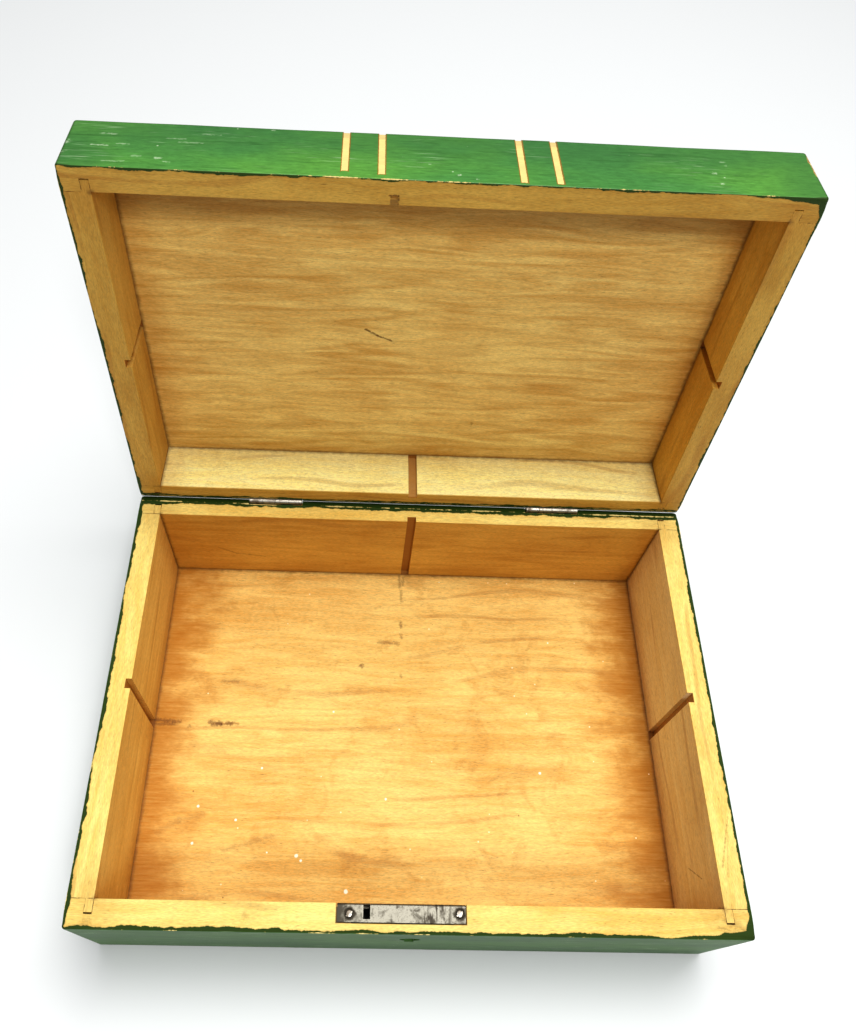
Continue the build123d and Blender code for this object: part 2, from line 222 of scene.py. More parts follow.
def edge_radius(place):
    """How round an arris is there: most at the box's own corners, and hardly at all at a joint."""
    across = half_width - abs(place.x)
    along = half_depth - abs(place.y)
    end = min(lid_top - place.z, place.z - floor_low.z)
    outside = sorted((across, along, end))
    worn = 0.5 + 0.5 * rough(place, 23)
    if outside[1] < 2.5:
        return 1.0 + 0.7 * worn
    if across < 2.5 and abs(along - wall) < 2.2:
        return 0.1
    if outside[0] < 2.5:
        return 0.35 + 0.45 * worn ** 2
    if across < wall + 1 and along < wall + 1:
        return 0.1
    return 0.16 + 0.12 * worn


def wear(mesh, low, high):
    """Rounds a gridded block's arrises unevenly, and makes its faces a little uneven."""
    thickness = min(high[i] - low[i] for i in range(3))
    for vertex in mesh.verts:
        place = vertex.co.copy()
        radius = min(edge_radius(place), 0.45 * thickness)
        core = Vector([min(max(place[i], low[i] + radius), high[i] - radius) for i in range(3)])
        out = (place - core).normalized()
        sunk = 0.02 + 0.015 * (1 + rough(place, 31)) + 0.012 * (1 + rough(place, 7))
        vertex.co = core + out * (radius - sunk)


def board(node):
    """A CAD board's worn twin: a worn block that fills its outline, cut to the CAD board's shape."""
    low, high = closed_box(node)
    for joint in (cavity_floor, cavity_ceiling):
        if abs(low.z - joint) < 0.1:
            low.z -= JOINT_REACH
        if abs(high.z - joint) < 0.1:
            high.z += JOINT_REACH
    block = block_mesh(low, high)
    wear(block, low, high)
    result = intersection(block, closed_mesh(node))
    bmesh.ops.remove_doubles(result, verts=result.verts, dist=CLEAN_DISTANCE)
    bmesh.ops.dissolve_degenerate(result, edges=result.edges, dist=CLEAN_DISTANCE)
    return result


def fitting(node, bevel):
    """A CAD fitting's twin, with its sharp edges rounded over."""
    mesh = closed_mesh(node)
    bmesh.ops.dissolve_limit(
        mesh, angle_limit=math.radians(1), verts=mesh.verts, edges=mesh.edges
    )
    sharp = [e for e in mesh.edges if e.is_manifold and e.calc_face_angle() > math.radians(40)]
    bmesh.ops.bevel(
        mesh, geom=sharp, offset=bevel, segments=2, profile=0.5, affect="EDGES", clamp_overlap=True
    )
    return mesh


# Materials


SPECULAR = 0.3  # old paint and bare wood shine little


class Shader:
    """A material's nodes, made with short calls. Places are in millimetres, with the lid down."""

    def __init__(self, name):
        self.material = bpy.data.materials.new(name)
        self.material.use_nodes = True
        self.tree = self.material.node_tree
        self.surface = self.tree.nodes["Principled BSDF"]
        coordinates = self.tree.nodes.new("ShaderNodeTexCoord")
        self.place = self.vector("MULTIPLY", coordinates.outputs["Object"], (1 / MM,) * 3)
        split = self.tree.nodes.new("ShaderNodeSeparateXYZ")
        self.link(self.place, split.inputs[0])
        self.x, self.y, self.z = split.outputs

    def link(self, value, socket):
        """Feeds a socket from another, or sets it."""
        if isinstance(value, bpy.types.NodeSocket):
            self.tree.links.new(value, socket)
        else:
            socket.default_value = value

    def math(self, operation, *values, clamp=False):
        node = self.tree.nodes.new("ShaderNodeMath")
        node.operation = operation
        node.use_clamp = clamp
        for value, socket in zip(values, node.inputs):
            self.link(value, socket)
        return node.outputs[0]

    def vector(self, operation, *values):
        node = self.tree.nodes.new("ShaderNodeVectorMath")
        node.operation = operation
        for value, socket in zip(values, node.inputs):
            self.link(value, socket)
        gives_number = operation in ("DOT_PRODUCT", "LENGTH", "DISTANCE")
        return node.outputs["Value" if gives_number else "Vector"]

    def scaled(self, vector, factor):
        node = self.tree.nodes.new("ShaderNodeVectorMath")
        node.operation = "SCALE"
        self.link(vector, node.inputs[0])
        self.link(factor, node.inputs["Scale"])
        return node.outputs[0]

    def add(self, a, b):
        return self.math("ADD", a, b)

    def sub(self, a, b):
        return self.math("SUBTRACT", a, b)

    def mul(self, a, b):
        return self.math("MULTIPLY", a, b)

    def off(self, a, b=0.0):
        """How far one value is from another."""
        return self.math("ABSOLUTE", self.sub(a, b))

    def hypot(self, a, b):
        return self.math("SQRT", self.add(self.mul(a, a), self.mul(b, b)))

    def least(self, *values):
        result = values[0]
        for value in values[1:]:
            result = self.math("MINIMUM", result, value)
        return result

    def most(self, *values):
        result = values[0]
        for value in values[1:]:
            result = self.math("MAXIMUM", result, value)
        return result

    def step(self, value, low, high):
        """0 below low, 1 above high, and smooth between. Low may be above high."""
        node = self.tree.nodes.new("ShaderNodeMapRange")
        node.interpolation_type = "SMOOTHSTEP"
        for given, socket in zip((value, low, high, 0.0, 1.0), node.inputs):
            self.link(given, socket)
        return node.outputs[0]

    def noise(self, scale, detail=3.0, roughness=0.5, distortion=0.0, seed=0.0):
        """Noise whose scale on each axis is in features for each millimetre."""
        stretched = self.vector("MULTIPLY", self.place, scale)
        moved = self.vector("ADD", stretched, (seed, seed * 1.7, seed * 0.6))
        node = self.tree.nodes.new("ShaderNodeTexNoise")
        self.link(moved, node.inputs["Vector"])
        node.inputs["Scale"].default_value = 1.0
        node.inputs["Detail"].default_value = detail
        node.inputs["Roughness"].default_value = roughness
        node.inputs["Distortion"].default_value = distortion
        return node.outputs["Fac"]

    def spots(self, spacing, radius, share, seed=0.0):
        """Scattered round spots: a share of them is kept, and the largest has the radius."""
        moved = self.vector("ADD", self.place, (seed, seed * 1.7, seed * 0.6))
        node = self.tree.nodes.new("ShaderNodeTexVoronoi")
        self.link(moved, node.inputs["Vector"])
        node.inputs["Scale"].default_value = 1 / spacing
        split = self.tree.nodes.new("ShaderNodeSeparateColor")
        self.link(node.outputs["Color"], split.inputs[0])
        inside = self.step(self.mul(node.outputs["Distance"], spacing), radius, radius * 0.6)
        return self.mul(inside, self.math("LESS_THAN", split.outputs[0], share))

    def from_segment(self, start, end):
        """The distance from a straight segment between two places."""
        start, end = Vector(start), Vector(end)
        along = end - start
        offset = self.vector("SUBTRACT", self.place, tuple(start))
        if along.length < 0.01:
            return self.vector("LENGTH", offset)
        reach = self.vector("DOT_PRODUCT", offset, tuple(along / along.length_squared))
        foot = self.scaled(tuple(along), self.math("ADD", reach, 0.0, clamp=True))
        return self.vector("LENGTH", self.vector("SUBTRACT", offset, foot))

    def mix(self, factor, a, b):
        """A colour from a to b."""
        node = self.tree.nodes.new("ShaderNodeMix")
        node.data_type = "RGBA"
        for value, index in ((factor, 0), (a, 6), (b, 7)):
            self.link(value, node.inputs[index])
        return node.outputs[2]

    def tint(self, colour, factor, strength):
        """A colour made darker or lighter by a factor about 0.5, by up to strength either way."""
        return self.scaled(colour, self.add(self.mul(self.sub(factor, 0.5), 2 * strength), 1.0))

    def bump(self, height, distance):
        """A normal from a height, with a distance in millimetres."""
        node = self.tree.nodes.new("ShaderNodeBump")
        self.link(height, node.inputs["Height"])
        node.inputs["Distance"].default_value = distance * MM
        node.inputs["Strength"].default_value = 1.0
        return node.outputs[0]

    def set(self, **values):
        """Feeds or sets the surface's sockets by name."""
        for name, value in values.items():
            self.link(value, self.surface.inputs[name.replace("_", " ")])


def colour(red, green, blue):
    """A linear colour from the familiar 0 to 255 values."""
    def linear(v):
        v /= 255
        return v / 12.92 if v <= 0.04045 else ((v + 0.055) / 1.055) ** 2.4
    return (linear(red), linear(green), linear(blue), 1.0)


BROWN = colour(92, 50, 12)
GRIME = colour(116, 74, 24)
AMBER = colour(178, 114, 22)
RING = colour(160, 100, 34)
# The colour of the painted shadow that the lid's front wall casts on the lid panel
PANEL_SHADOW = colour(132, 86, 24)
LINE_OUTLINE = colour(150, 88, 26)
CRUMB, SPOT = colour(255, 240, 196), colour(255, 250, 228)
GREEN, DULL_GREEN = colour(94, 150, 64), colour(74, 130, 66)
# Of these two greens, the second is painted shade: the dull dark green that the base's paint is mixed with
LID_END_GREEN, BASE_SHADE_GREEN = colour(54, 98, 58), colour(54, 68, 46)
SCUFF = colour(206, 222, 190)
CREAM = colour(240, 226, 158)
DARK_OLIVE = colour(42, 60, 8)


class Woodwork(Shader):
    """A board's material, which knows how far a place is from the box's faces, rims and creases."""

    def __init__(self, name, body, grain):
        super().__init__(name)
        self.grain = grain
        self.across = self.sub(half_width, self.off(self.x))
        self.along = self.sub(half_depth, self.off(self.y))
        self.under_top = self.sub(lid_top, self.z)
        self.from_parting = self.off(self.z, parting)
        length = math.hypot(BEVEL_DEPTH, BEVEL_DROP)
        bevel_start = half_depth - BEVEL_DEPTH
        rise = self.mul(self.sub(self.y, bevel_start), BEVEL_DROP / length)
        off_slope = self.off(rise, self.mul(self.from_parting, BEVEL_DEPTH / length))
        self.bevel = self.most(off_slope, self.sub(bevel_start, self.y))
        self.depth = self.least(self.across, self.along, self.under_top, self.bevel)
        self.from_end_wall = self.sub(self.across, wall)
        self.from_long_wall = self.sub(self.along, wall)
        if body == "base":
            self.from_panel = self.sub(self.z, cavity_floor)
        else:
            self.from_panel = self.sub(cavity_ceiling, self.z)
        self.crease = self.least(
            self.hypot(self.from_end_wall, self.from_long_wall),
            self.hypot(self.from_end_wall, self.from_panel),
            self.hypot(self.from_long_wall, self.from_panel),
        )

    def grained(self, fine, coarse):
        """A noise scale that is coarse along the grain, which runs along X for 0, or Y for 1."""
        scale = [fine, fine, fine]
        scale[self.grain] = coarse
        return scale

    def rectangle(self, middle, half, across, along):
        """How far a place is outside a rectangle, or inside it where the distance is negative."""
        return self.most(
            self.sub(self.off(across, middle[0]), half[0]),
            self.sub(self.off(along, middle[1]), half[1]),
        )


def bare_wood(shade, light, dark, seed, streak, lines, warm):
    """The colour and height of bare close-grained wood, with its figure, pores and growth lines.

    Streak is how strong the figure is, lines the growth lines, and warm the amber patches.
    """
    fibres = shade.noise(shade.grained(2.4, 0.09), 3, 0.62, 0.2, seed)
    pores = shade.noise(shade.grained(3.4, 0.5), 2, 0.6, 0.0, seed + 3)
    mottle = shade.noise((1.3, 1.3, 1.3), 3, 0.65, 0.0, seed + 5)
    figure = shade.noise(shade.grained(0.17, 0.02), 3, 0.6, 1.3, seed + 7)
    cloud = shade.noise((0.018, 0.018, 0.018), 3, 0.55, 0.0, seed + 11)
    tone = shade.add(shade.mul(fibres, 0.3), shade.mul(mottle, 0.24))
    tone = shade.add(tone, shade.add(shade.mul(figure, streak), shade.mul(cloud, 0.34)))
    middle = 0.5 * (0.3 + 0.24 + streak + 0.34)
    tone = shade.step(tone, middle * 0.72, middle * 1.3)
    base = shade.mix(tone, light, dark)

    blotch = shade.step(shade.noise((0.05, 0.05, 0.05), 4, 0.7, 0.6, seed + 13), 0.52, 0.68)
    base = shade.mix(shade.mul(blotch, warm), base, AMBER)
    wave = shade.mul(shade.noise(shade.grained(0.02, 0.006), 2, 0.5, 0.0, seed + 17), 22.0)
    cross = shade.add(shade.z, shade.y if shade.grain == 0 else shade.x)
    ridge = shade.math("SINE", shade.add(shade.mul(cross, 0.42), wave))
    ring_patch = shade.step(shade.noise(shade.grained(0.06, 0.016), 2, 0.5, 0.0, seed + 19), 0.46, 0.6)
    ring = shade.mul(shade.mul(shade.step(ridge, 0.8, 1.0), ring_patch), lines)
    fleck_noise = shade.noise(shade.grained(3.6, 0.4), 2, 0.5, 0.0, seed + 23)
    flecks = shade.mul(shade.step(fleck_noise, 0.62, 0.76), 0.5)
    base = shade.mix(ring, base, RING)
    base = shade.mix(flecks, base, GRIME)
    base = shade.tint(base, pores, 0.42)
    base = shade.tint(base, fibres, 0.2)
    base = shade.tint(base, mottle, 0.24)
    return base, shade.add(fibres, shade.mul(pores, 0.6))


def dirty_and_shaded_wood(shade, node, wood, seed):
    """Wood with dirt and painted shade in its creases, painted shade in its grooves, dirt in its joints, and dirt
    and a painted shadow along the lock plate's outline.
    """
    smear = shade.noise((0.35, 0.35, 0.35), 3, 0.6, 0.0, seed + 29)
    ragged = shade.mul(shade.sub(smear, 0.5), 2.2)
    # Painted shade and dirt: the wood darkens within about two millimetres of its inner creases
    corner_dirt_and_shade = shade.mul(shade.step(shade.add(shade.crease, ragged), 1.7, -0.2), 0.6)
    # Painted shade and dirt: a darker amber band runs along the floor's ends, and on the other boards within about
    # 15 mm of the creases
    if node == "base_floor":
        drift = shade.sub(shade.noise((0.04, 0.09, 0.09), 4, 0.65, 0.0, seed + 27), 0.5)
        fibres = shade.noise(shade.grained(1.1, 0.08), 3, 0.6, 0.0, seed + 28)
        band_dirt_and_shade = shade.step(shade.add(shade.from_end_wall, shade.mul(drift, 60.0)), 34.0, 0.0)
        band_dirt_and_shade = shade.mul(band_dirt_and_shade, shade.add(shade.mul(fibres, 0.7), 0.5))
    else:
        band_dirt_and_shade = shade.step(shade.add(shade.crease, shade.mul(ragged, 5.0)), 15.0, 1.0)
        band_dirt_and_shade = shade.mul(band_dirt_and_shade, 0.3)

    middle = (0.0, -DIVIDER_GROOVE_DEPTH / 2)
    half = (DIVIDER_GROOVE / 2, DIVIDER_GROOVE_DEPTH / 2 + 0.2)
    in_end_groove = shade.rectangle(middle, half, shade.y, shade.from_end_wall)
    in_back_groove = shade.rectangle(middle, half, shade.x, shade.from_long_wall)
    in_back_groove = shade.most(in_back_groove, shade.mul(shade.y, -1.0))
    in_groove = shade.least(in_end_groove, in_back_groove)
    # Painted shade: the divider grooves are darkened to the ring colour
    groove_shade = shade.mul(shade.step(in_groove, 0.05, -0.15), 0.85)

    tongue = shade.rectangle(
        (wall - TONGUE_THICKNESS / 2, wall - TONGUE_LENGTH / 2),
        (TONGUE_THICKNESS / 2, TONGUE_LENGTH / 2),
        shade.across, shade.along,
    )
    seam = shade.most(shade.off(shade.along, wall), shade.sub(shade.across, wall))
    joint = shade.least(shade.off(tongue), seam)
    joint = shade.mul(shade.step(joint, 0.22, 0.05), shade.step(smear, 0.42, 0.6))

    plate_middle = (plate_low + plate_high) / 2
    plate_half = (plate_high - plate_low) / 2
    plate = shade.rectangle(plate_middle, plate_half, shade.x, shade.y)
    # Painted shadow and dirt: a thin dark line along the lock plate's outline, where the mortise gap is
    plate_edge_dirt_and_shadow = shade.mul(shade.step(shade.off(plate, 0.2), 0.45, 0.15), 0.75)
    plate_edge_dirt_and_shadow = shade.mul(plate_edge_dirt_and_shadow, shade.step(shade.z, parting - 4.0, parting - 1.0))
    plate_edge_dirt_and_shadow = shade.mul(plate_edge_dirt_and_shadow, shade.math("LESS_THAN", shade.z, parting))

    wood = shade.mix(band_dirt_and_shade, wood, AMBER)
    wood = shade.mix(groove_shade, wood, RING)
    return shade.mix(shade.most(corner_dirt_and_shade, joint, plate_edge_dirt_and_shadow), wood, BROWN)


# Marks on the bare wood, and painted shadows in the lid's catch recess: start, end, half width, and strength
FLOOR_TOP = cavity_floor
DARK_MARKS_AND_SHADOWS = {
    "base_floor": [
        ((-2.6, 77.5, FLOOR_TOP), (-2.3, 71.5, FLOOR_TOP), 0.8, 0.47),
        ((-0.4, 77.0, FLOOR_TOP), (-0.8, 72.5, FLOOR_TOP), 0.8, 0.42),
        ((-1.7, 69.5, FLOOR_TOP), (-1.5, 64.0, FLOOR_TOP), 0.8, 0.42),
        ((-1.8, 52.4, FLOOR_TOP), (-1.7, 50.2, FLOOR_TOP), 0.8, 0.59),
        ((-1.6, 46.0, FLOOR_TOP), (-1.6, 44.8, FLOOR_TOP), 0.8, 0.51),
        ((-1.8, 25.7, FLOOR_TOP), (-1.6, 25.5, FLOOR_TOP), 1.0, 0.42),
        ((-114.5, 2.0, FLOOR_TOP), (-103.5, 1.3, FLOOR_TOP), 1.0, 0.64),
        ((-114.0, 0.2, FLOOR_TOP), (-106.0, 0.0, FLOOR_TOP), 0.8, 0.51),
        ((-99.3, -0.4, FLOOR_TOP), (-98.3, -0.6, FLOOR_TOP), 0.8, 0.42),
        ((-90.0, 1.6, FLOOR_TOP), (-84.5, 1.0, FLOOR_TOP), 1.0, 0.68),
        ((-89.0, 0.1, FLOOR_TOP), (-80.0, 0.9, FLOOR_TOP), 0.8, 0.59),
        ((-82.0, 1.4, FLOOR_TOP), (-77.0, 1.1, FLOOR_TOP), 0.8, 0.51),
        ((-12.5, 42.1, FLOOR_TOP), (-3.3, 41.8, FLOOR_TOP), 1.0, 0.42),
        ((-20.7, 29.8, FLOOR_TOP), (-20.5, 29.8, FLOOR_TOP), 1.2, 0.68),
        ((-86.5, 21.0, FLOOR_TOP), (-79.0, 20.7, FLOOR_TOP), 0.7, 0.34),
        ((-106.6, -46.2, FLOOR_TOP), (-98.0, -41.0, FLOOR_TOP), 1.5, 0.17),
        ((-98.0, -41.0, FLOOR_TOP), (-88.0, -38.5, FLOOR_TOP), 1.4, 0.17),
        ((-78.0, -52.7, FLOOR_TOP), (-56.0, -46.3, FLOOR_TOP), 1.0, 0.21),
        ((-97.0, -9.0, FLOOR_TOP), (-82.0, -11.0, FLOOR_TOP), 1.7, 0.17),
    ],
    "lid_top_panel": [
        ((-24.4, -1.3, cavity_ceiling), (-19.2, 2.1, cavity_ceiling), 0.5, 0.8),
        ((-19.2, 2.1, cavity_ceiling), (-13.6, 4.5, cavity_ceiling), 0.45, 0.8),
        ((25.4, 55.0, cavity_ceiling), (25.4, 54.0, cavity_ceiling), 0.8, 0.4),
    ],
    # Painted shadows: dark lines along the top and right walls of the lid's catch recess, where those walls shade
    # its floor
    "lid_front_wall": [
        ((-18.2, -82.3, parting), (-15.3, -82.3, parting), 0.4, 0.9),
        ((-15.3, -82.3, parting), (-15.3, -78.8, parting), 0.4, 0.9),
    ],
    "base_right_wall": [
        ((inner_width, -60.3, 30.6), (inner_width, -65.9, 44.0), 0.3, 0.6),
        ((122.5, -46.5, parting), (117.2, -64.3, parting), 0.35, 0.45),
        ((121.4, -52.0, parting), (118.4, -68.0, parting), 0.3, 0.35),
    ],
    "base_front_wall": [
        ((-116.4, -86.5, parting), (-116.2, -86.5, parting), 1.9, 0.3),
        ((-60.7, -83.3, parting), (-60.4, -83.3, parting), 1.3, 0.3),
        ((-104.2, -87.4, parting), (-104.0, -87.4, parting), 0.8, 0.35),
        ((115.5, -82.0, parting), (123.0, -86.5, parting), 1.8, 0.3),
        ((112.0, -84.5, parting), (118.0, -86.0, parting), 0.6, 0.3),
    ],
    "base_back_wall": [
        ((-92.0, inner_depth, 30.0), (-84.0, inner_depth, 24.0), 0.5, 0.4),
        ((-84.0, inner_depth, 24.0), (-70.0, inner_depth, 21.5), 0.5, 0.35),
    ],
}
PALE_SPOTS = {
    "base_floor": [
        (-33.0, 7.6, 0.55), (-64.1, -18.5, 0.7), (-90.6, -35.2, 0.75), (-73.6, -40.5, 0.7),
        (-91.3, -50.2, 0.7), (-46.2, -54.4, 0.95), (-44.2, -56.3, 0.7), (-24.5, -67.9, 1.1),
        (-58.9, -53.3, 0.5), (-8.1, -30.6, 0.7), (62.0, -18.0, 0.8), (71.0, 44.0, 0.5),
    ],
}
# How each body's paint differs: how far it laps over the rim, how well the rim's arris holds it, its
# dark brush strokes, the strength of its pale scratches, and the gloss it keeps
PAINT = {
    "base": {
        "lap": 1.25, "hold": 0.86, "stroke": colour(22, 38, 14), "strokes": 0.65, "scratches": 0.6,
        "gloss": 0.08,
    },
    "lid": {
        "lap": 0.8, "hold": 0.82, "stroke": colour(36, 78, 30), "strokes": 0.45, "scratches": 0.3,
        "gloss": 0.3,
    },
}
DRIP = ((124.0, -88.5, parting), (116.0, -88.5, parting))
KNOCKED_CORNER = ((123.2, -88.5, 87.0), (124.0, -88.5, 77.0))
# Scuffs on the lid's painted front, the first two, at its left edge, being worn paint and a painted sheen of the
# rounded edge: X, Z, length, half width, and strength
PAINT_SCUFFS_AND_SHEEN = (
    (-123.6, 76.0, 0.0, 1.2, 0.7), (-124.0, 70.0, 0.0, 1.0, 0.8), (-111.5, 81.6, 5.0, 0.5, 0.45),
    (-113.0, 74.8, 5.0, 0.45, 0.6), (-105.5, 76.0, 4.0, 0.4, 0.45), (-93.0, 68.7, 2.0, 0.5, 0.7),
    (-90.0, 66.9, 1.5, 0.5, 0.7), (-100.2, 69.4, 3.0, 0.4, 0.4), (-84.0, 78.4, 8.0, 0.4, 0.35),
    (-78.0, 83.7, 6.0, 0.4, 0.35), (-89.0, 80.4, 6.0, 0.4, 0.35), (-107.0, 66.0, 7.0, 0.4, 0.4),
    (-14.1, 75.4, 0.5, 0.35, 0.5), (4.0, 66.6, 0.6, 0.6, 0.95), (10.0, 64.6, 0.5, 0.4, 0.6),
    (89.3, 74.1, 0.8, 0.6, 0.95), (90.4, 68.0, 0.4, 0.6, 0.9), (93.4, 81.0, 1.0, 0.5, 0.4),
    (94.2, 79.0, 0.5, 0.5, 0.35), (-5.5, 72.0, 0.3, 0.3, 0.5), (-58.0, 88.0, 1.0, 0.4, 0.5),
)


def marked(shade, node, wood, seed):
    """Wood with the marks that its board has, and the painted shadows listed with them."""
    jitter = shade.sub(shade.noise((0.9, 0.9, 0.9), 4, 0.7, 0.0, seed + 31), 0.5)
    for start, end, width, strength in DARK_MARKS_AND_SHADOWS.get(node, ()):
        gap = shade.add(shade.from_segment(start, end), shade.mul(jitter, 3.6 * width))
        wood = shade.mix(shade.mul(shade.step(gap, 1.5 * width, 0.0), strength), wood, BROWN)
    for x, y, radius in PALE_SPOTS.get(node, ()):
        place = (x, y, FLOOR_TOP)
        gap = shade.add(shade.from_segment(place, place), shade.mul(jitter, radius))
        wood = shade.mix(shade.step(gap, radius, 0.5 * radius), wood, SPOT)
    if node == "base_floor":
        crumbs = shade.mul(shade.spots(5.0, 0.45, 0.2, 3.0), 0.8)
        wood = shade.mix(crumbs, wood, CRUMB)
        specks = shade.mul(shade.spots(9.0, 0.5, 0.25, 41.0), 0.6)
        wood = shade.mix(specks, wood, BROWN)
    return wood


def line_masks(shade):
    """Where the lid's scribed lines are bare, and where their brown outlines are."""
    jitter = shade.mul(shade.sub(shade.noise((0.9, 0.9, 0.9), 3, 0.6, 0.0, 61), 0.5), 0.3)
    bare, outline = 0.0, 0.0
    end_jitter = shade.mul(shade.sub(shade.noise((1.4, 1.4, 0.2), 2, 0.6, 0.0, 63), 0.5), 1.8)
    height = shade.add(shade.sub(shade.z, parting), end_jitter)
    at_back = shade.math("GREATER_THAN", shade.y, 0.0)
    for middle, front_end in LINES:
        end = shade.add(front_end, shade.mul(at_back, LINE_BACK_END - front_end))
        beyond = shade.most(
            shade.sub(shade.off(shade.x, middle), LINE_WIDTH / 2), shade.sub(end, height)
        )
        beyond = shade.add(beyond, jitter)
        bare = shade.most(bare, shade.step(beyond, 0.06, -0.06))
        outline = shade.most(outline, shade.step(beyond, 0.42, 0.2))
    outside = shade.step(shade.depth, 1.0, 0.7)
    return shade.mul(bare, outside), shade.mul(outline, outside)


def paint_colour(shade, body):
    """Old green gloss, with brush strokes, greyer patches, scratches and pale scuffs."""
    strokes = shade.noise(shade.grained(0.7, 0.05), 4, 0.68, 0.3, 15)
    fine = shade.noise(shade.grained(1.5, 0.35), 3, 0.65, 0.0, 16)
    cloud = shade.noise((0.013, 0.03, 0.03), 3, 0.55, 0.0, 17)
    green = shade.mix(shade.step(cloud, 0.36, 0.66), GREEN, DULL_GREEN)
    dark_strokes = shade.mul(shade.step(strokes, 0.5, 0.72), PAINT[body]["strokes"])
    green = shade.tint(green, strokes, 0.2)
    green = shade.tint(green, fine, 0.5)
    if body == "lid":
        near_end = shade.step(shade.least(shade.across, shade.under_top), 26.0, 4.0)
        green = shade.mix(shade.mul(near_end, 0.5), green, LID_END_GREEN)
    else:
        # Painted shade: the base's paint is mixed halfway to a dull dark green, standing in for the shade on the
        # base's front
        green = shade.mix(0.5, green, BASE_SHADE_GREEN)
    green = shade.mix(dark_strokes, green, PAINT[body]["stroke"])

    scratch = shade.noise(shade.grained(3.0, 0.08), 2, 0.5, 0.0, 21)
    scratch_where = shade.noise((0.03, 0.08, 0.08), 2, 0.5, 0.0, 23)
    scratched = shade.mul(shade.step(scratch, 0.62, 0.72), shade.step(scratch_where, 0.48, 0.62))
    dust = shade.spots(6.0, 0.4, 0.3, 5.0)
    pale = shade.most(shade.mul(scratched, PAINT[body]["scratches"]), shade.mul(dust, 0.5))
    if body == "lid":
        on_front = shade.step(shade.y, -half_depth + 1.2, -half_depth + 0.8)
        jitter = shade.sub(shade.noise((0.7, 1.4, 1.4), 4, 0.75, 0.0, 25), 0.5)
        # Pale scuffs; the two at the left edge stand partly for a painted sheen on the rounded edge
        for x, z, length, width, strength in PAINT_SCUFFS_AND_SHEEN:
            ends = [(x + side * length / 2, -half_depth, z) for side in (-1, 1)]
            gap = shade.add(shade.from_segment(*ends), shade.mul(jitter, 6.0 * width))
            scuff = shade.mul(shade.step(gap, 1.2 * width, -0.3 * width), 0.75 * strength)
            pale = shade.most(pale, shade.mul(scuff, on_front))
    return shade.mix(pale, green, SCUFF), strokes


